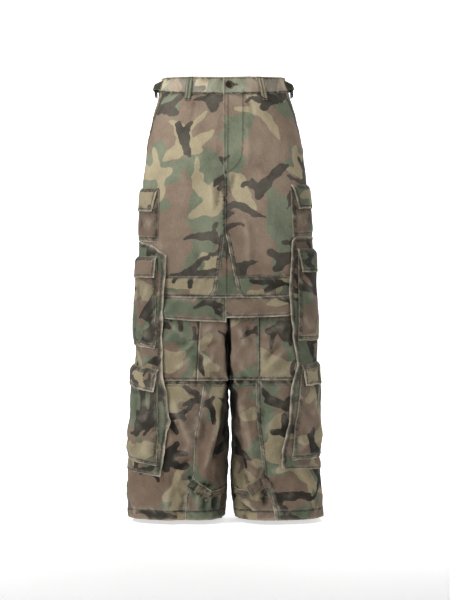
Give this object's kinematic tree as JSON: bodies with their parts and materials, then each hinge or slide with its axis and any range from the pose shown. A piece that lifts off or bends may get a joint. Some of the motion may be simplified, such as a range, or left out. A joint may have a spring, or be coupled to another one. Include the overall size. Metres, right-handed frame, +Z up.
{
  "type": "wide-leg cargo trousers",
  "caption": "Wide-leg cargo trousers in faded woodland camouflage cotton, worn shape and hollow, with flapped side pockets, belt loops, knee bands and leg tabs",
  "frame": {"origin": "middle of the waist, at the height of the waistband's upper edge at the sides, where the wearer's waist holds the trousers up", "axes": "+Z up along the legs, -Y to the wearer's front, +X to the wearer's left"},
  "size_m": [0.4719, 0.2363, 1.0667],
  "materials": {
    "camo_cotton": "washed cotton twill printed with woodland camouflage, matte",
    "olive_cotton": "plain washed olive cotton webbing, matte",
    "black_buckle": "satin black slide buckle",
    "aged_metal": "dark aged brass shank button"
  },
  "bodies": {
    "root": {"adjuster_buckle_left": "black_buckle", "adjuster_buckle_right": "black_buckle", "adjuster_strap_left": "olive_cotton", "adjuster_strap_right": "olive_cotton", "back_left": "camo_cotton", "back_right": "camo_cotton", "belt_loop_back_left": "camo_cotton", "belt_loop_back_right": "camo_cotton", "belt_loop_centre": "camo_cotton", "belt_loop_front_left": "camo_cotton", "belt_loop_front_right": "camo_cotton", "front_left": "camo_cotton", "front_right": "camo_cotton", "gusset": "camo_cotton", "hip_flap_left": "camo_cotton", "hip_flap_right": "camo_cotton", "hip_pocket_left": "camo_cotton", "hip_pocket_right": "camo_cotton", "knee_band_left": "camo_cotton", "knee_band_right": "camo_cotton", "knee_inner_left": "camo_cotton", "knee_inner_right": "camo_cotton", "knee_outer_left": "camo_cotton", "knee_outer_right": "camo_cotton", "leg_back_left": "camo_cotton", "leg_back_right": "camo_cotton", "leg_strap_left": "camo_cotton", "leg_strap_right": "camo_cotton", "leg_tab_left": "camo_cotton", "leg_tab_right": "camo_cotton", "lower_band_left": "camo_cotton", "lower_band_right": "camo_cotton", "lower_flap_left": "camo_cotton", "lower_flap_right": "camo_cotton", "lower_pocket_left": "camo_cotton", "lower_pocket_right": "camo_cotton", "pocket_facing_left": "camo_cotton", "pocket_facing_right": "camo_cotton", "shin_inner_left": "camo_cotton", "shin_inner_right": "camo_cotton", "shin_outer_left": "camo_cotton", "shin_outer_right": "camo_cotton", "side_panel_left": "camo_cotton", "side_panel_right": "camo_cotton", "upper_flap_left": "camo_cotton", "upper_flap_right": "camo_cotton", "upper_pocket_left": "camo_cotton", "upper_pocket_right": "camo_cotton", "waist_button": "aged_metal", "waistband_left": "camo_cotton", "waistband_right": "camo_cotton"}
  },
  "joints": []
}
